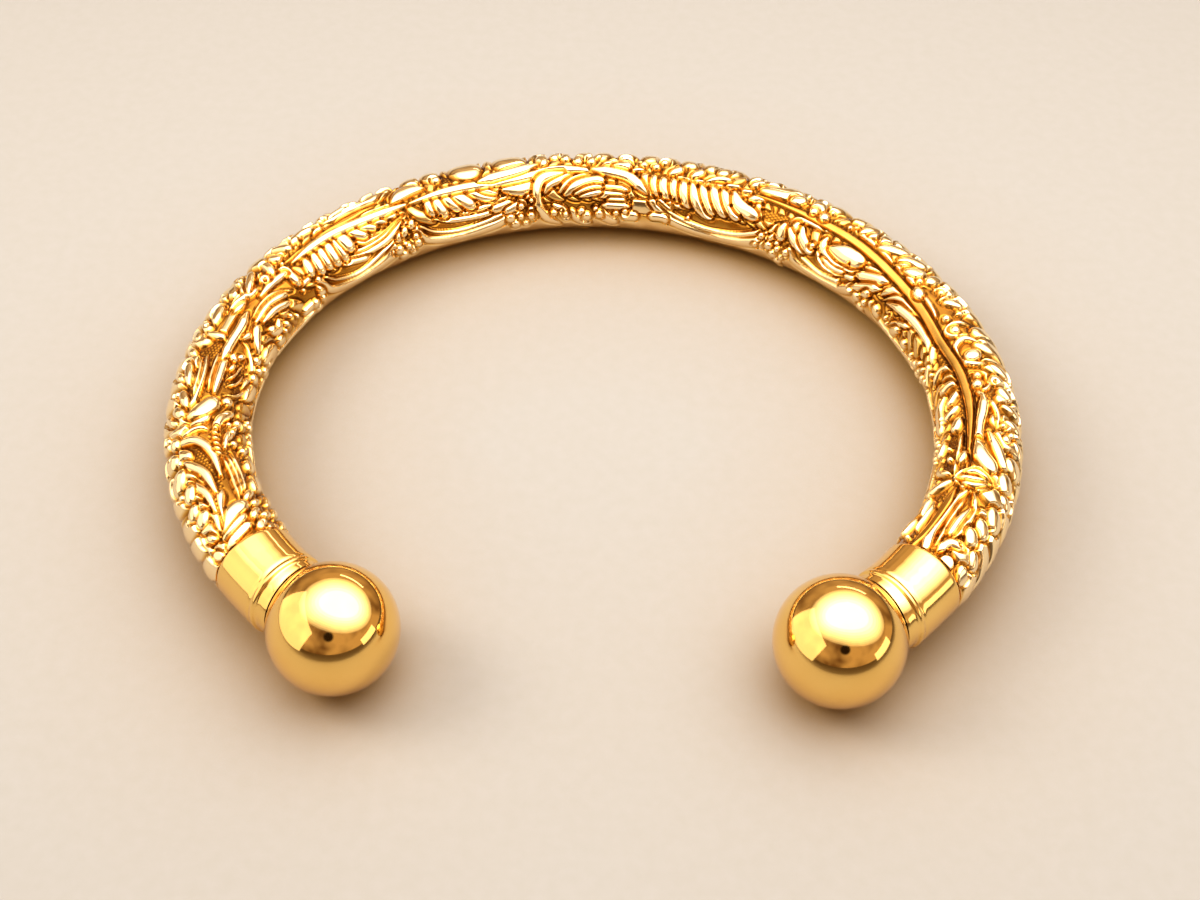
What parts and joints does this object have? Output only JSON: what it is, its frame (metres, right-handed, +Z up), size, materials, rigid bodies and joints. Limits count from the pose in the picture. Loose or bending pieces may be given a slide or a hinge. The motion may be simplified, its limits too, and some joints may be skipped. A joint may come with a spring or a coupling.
{
  "type": "cuff bracelet",
  "caption": "Open cuff bangle: a round cast bar with raised leaf and bead ornament, smooth collars and polished ball ends.",
  "frame": {"origin": "middle of the cuff's outer size, on the surface that it lies on", "axes": "+X across the cuff at its widest, +Z up from the surface, the opening faces -Y"},
  "size_m": [0.0778, 0.0663, 0.011],
  "materials": {
    "cast_gold": "cast relief, gold plated, bright",
    "polished_gold": "mirror polished, gold plated"
  },
  "bodies": {
    "root": {"hoop": "cast_gold", "collar_left": "polished_gold", "collar_right": "polished_gold", "ball_left": "polished_gold", "ball_right": "polished_gold"}
  },
  "joints": []
}
